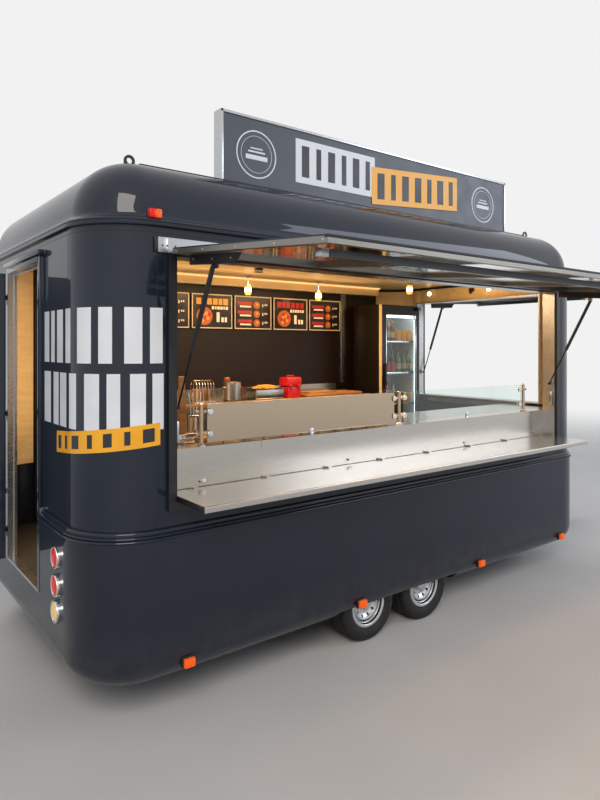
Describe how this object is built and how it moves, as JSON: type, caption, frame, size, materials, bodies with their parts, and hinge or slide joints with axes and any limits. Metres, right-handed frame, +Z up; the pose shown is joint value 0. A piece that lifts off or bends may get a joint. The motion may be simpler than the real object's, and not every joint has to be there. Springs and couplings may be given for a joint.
{
  "type": "food trailer",
  "caption": "Tandem axle food trailer with rounded body, side serving window under a raised hatch, fold-down shelf, front hatch, rear door, roof sign and fitted kitchen.",
  "frame": {"origin": "on the ground, in the middle of the whole trailer's box with its hatches and door open", "axes": "+X forward to the drawbar, +Y to the far side away from the serving window, +Z up"},
  "size_m": [6.2508, 3.545, 3.3],
  "materials": {
    "body_paint": "gloss",
    "black_metal": "satin",
    "aluminium": "satin",
    "stainless": "brushed",
    "galvanised": "galvanised",
    "chrome": "polished",
    "clear_glass": "clear",
    "dark_wood": "satin",
    "floor_board": "matt",
    "cream_lining": "satin",
    "board_black": "matt",
    "sign_grey": "satin",
    "red_lens": "gloss",
    "amber_lens": "gloss",
    "tyre_rubber": "matt",
    "jockey_rubber": "matt",
    "wheel_silver": "satin"
  },
  "bodies": {
    "trailer": {"lower_tub": "body_paint", "belt_trim": "body_paint", "corner_posts": "body_paint", "wall_rear": "body_paint", "wall_far": "body_paint", "wall_serving": "body_paint", "wall_front": "body_paint", "gutter_band": "black_metal", "roof_cap": "body_paint", "window_frames": "black_metal", "window_liners": "aluminium", "hinge_rails": "aluminium", "floor": "floor_board", "chassis": "galvanised", "axles": "galvanised", "drawbar": "galvanised", "coupling": "galvanised", "upstand": "stainless", "worktops": "stainless", "cabinets": "stainless", "guard_frame": "stainless", "guard_glass": "clear_glass", "lining_far": "dark_wood", "menu_boards": "board_black", "ceiling": "cream_lining", "fridge": "black_metal", "door_frame": "aluminium", "sign_frame": "aluminium", "sign_face": "sign_grey", "roof_fittings": "black_metal", "lamp_mounts": "chrome", "red_lamps": "red_lens", "amber_lamps": "amber_lens"},
    "wheel_rear_serving": {"tyre_rear_serving": "tyre_rubber", "rim_rear_serving": "wheel_silver"},
    "wheel_rear_far": {"tyre_rear_far": "tyre_rubber", "rim_rear_far": "wheel_silver"},
    "wheel_front_serving": {"tyre_front_serving": "tyre_rubber", "rim_front_serving": "wheel_silver"},
    "wheel_front_far": {"tyre_front_far": "tyre_rubber", "rim_front_far": "wheel_silver"},
    "serving_hatch": {"serving_hatch_skin": "body_paint", "serving_hatch_frame": "aluminium"},
    "serving_struts_upper": {"serving_strut_tubes": "black_metal"},
    "serving_struts_lower": {"serving_strut_rods": "chrome"},
    "front_hatch": {"front_hatch_skin": "body_paint", "front_hatch_frame": "aluminium"},
    "front_struts_upper": {"front_strut_tubes": "black_metal"},
    "front_struts_lower": {"front_strut_rods": "chrome"},
    "serving_shelf": {"serving_shelf": "stainless"},
    "rear_door": {"rear_door": "body_paint"},
    "fridge_door": {"fridge_door": "black_metal", "fridge_glass": "clear_glass"},
    "steady_rear_serving": {"steady_rear_serving": "galvanised"},
    "steady_rear_far": {"steady_rear_far": "galvanised"},
    "steady_front_serving": {"steady_front_serving": "galvanised"},
    "steady_front_far": {"steady_front_far": "galvanised"},
    "jockey_fork": {"jockey_fork": "galvanised"},
    "jockey_wheel": {"jockey_wheel": "jockey_rubber"}
  },
  "joints": [
    {"name": "wheel_rear_serving_spin", "type": "hinge", "parent": "trailer", "child": "wheel_rear_serving", "pos_m": [-0.60164, -0.38798, 0.225], "axis": [0, 1, 0], "continuous": true},
    {"name": "wheel_rear_far_spin", "type": "hinge", "parent": "trailer", "child": "wheel_rear_far", "pos_m": [-0.60164, 1.57702, 0.225], "axis": [0, 1, 0], "continuous": true},
    {"name": "wheel_front_serving_spin", "type": "hinge", "parent": "trailer", "child": "wheel_front_serving", "pos_m": [-0.07164, -0.38798, 0.225], "axis": [0, 1, 0], "continuous": true},
    {"name": "wheel_front_far_spin", "type": "hinge", "parent": "trailer", "child": "wheel_front_far", "pos_m": [-0.07164, 1.57702, 0.225], "axis": [0, 1, 0], "continuous": true},
    {"name": "serving_hatch_swing", "type": "hinge", "parent": "trailer", "child": "serving_hatch", "pos_m": [-0.26164, -0.57548, 2.35], "axis": [1, 0, 0], "range_deg": [0, 85.2]},
    {"name": "serving_strut_swing", "type": "hinge", "parent": "serving_hatch", "child": "serving_struts_upper", "pos_m": [-0.26164, -0.86259, 2.25564], "axis": [1, 0, 0], "range_deg": [-114.88, 1]},
    {"name": "serving_strut_slide", "type": "slide", "parent": "serving_struts_upper", "child": "serving_struts_lower", "axis": [0, 0.4646, -0.8855], "range_m": [-0.29164, 0.002]},
    {"name": "front_hatch_swing", "type": "hinge", "parent": "trailer", "child": "front_hatch", "pos_m": [1.94836, 0.54952, 2.37], "axis": [0, 1, 0], "range_deg": [0, 92.5]},
    {"name": "front_strut_swing", "type": "hinge", "parent": "front_hatch", "child": "front_struts_upper", "pos_m": [2.18085, 0.54952, 2.31809], "axis": [0, 1, 0], "range_deg": [-116.66, 1]},
    {"name": "front_strut_slide", "type": "slide", "parent": "front_struts_upper", "child": "front_struts_lower", "axis": [-0.391, 0, -0.9204], "range_m": [-0.24361, 0.002]},
    {"name": "shelf_fold", "type": "hinge", "parent": "trailer", "child": "serving_shelf", "pos_m": [-0.26164, -0.43148, 1.143], "axis": [1, 0, 0], "range_deg": [-90, 0]},
    {"name": "rear_door_swing", "type": "hinge", "parent": "trailer", "child": "rear_door", "pos_m": [-2.44464, 0.93952, 1.44], "axis": [0, 0, 1], "range_deg": [-15, 95]},
    {"name": "fridge_door_swing", "type": "hinge", "parent": "trailer", "child": "fridge_door", "pos_m": [1.74736, 1.18852, 1.42], "axis": [0, 0, 1], "range_deg": [0, 90]},
    {"name": "steady_rear_serving_fold", "type": "hinge", "parent": "trailer", "child": "steady_rear_serving", "pos_m": [-1.98664, -0.02548, 0.31], "axis": [0, 1, 0], "range_deg": [-90, 0]},
    {"name": "steady_rear_far_fold", "type": "hinge", "parent": "trailer", "child": "steady_rear_far", "pos_m": [-1.98664, 1.21452, 0.31], "axis": [0, 1, 0], "range_deg": [-90, 0]},
    {"name": "steady_front_serving_fold", "type": "hinge", "parent": "trailer", "child": "steady_front_serving", "pos_m": [1.46336, -0.02548, 0.31], "axis": [0, 1, 0], "range_deg": [0, 90]},
    {"name": "steady_front_far_fold", "type": "hinge", "parent": "trailer", "child": "steady_front_far", "pos_m": [1.46336, 1.21452, 0.31], "axis": [0, 1, 0], "range_deg": [0, 90]},
    {"name": "jockey_swivel", "type": "hinge", "parent": "trailer", "child": "jockey_fork", "pos_m": [2.64336, 0.37252, 0.3], "axis": [0, 0, 1], "continuous": true},
    {"name": "jockey_spin", "type": "hinge", "parent": "jockey_fork", "child": "jockey_wheel", "pos_m": [2.60336, 0.37252, 0.1], "axis": [0, 1, 0], "continuous": true}
  ],
  "couplings": [
    {"joint": "serving_strut_swing", "follows": "serving_hatch_swing", "ratio": -1.3249},
    {"joint": "serving_strut_slide", "follows": "serving_hatch_swing", "m_per_rad": -0.19343},
    {"joint": "front_strut_swing", "follows": "front_hatch_swing", "ratio": -1.2395},
    {"joint": "front_strut_slide", "follows": "front_hatch_swing", "m_per_rad": -0.14842}
  ]
}
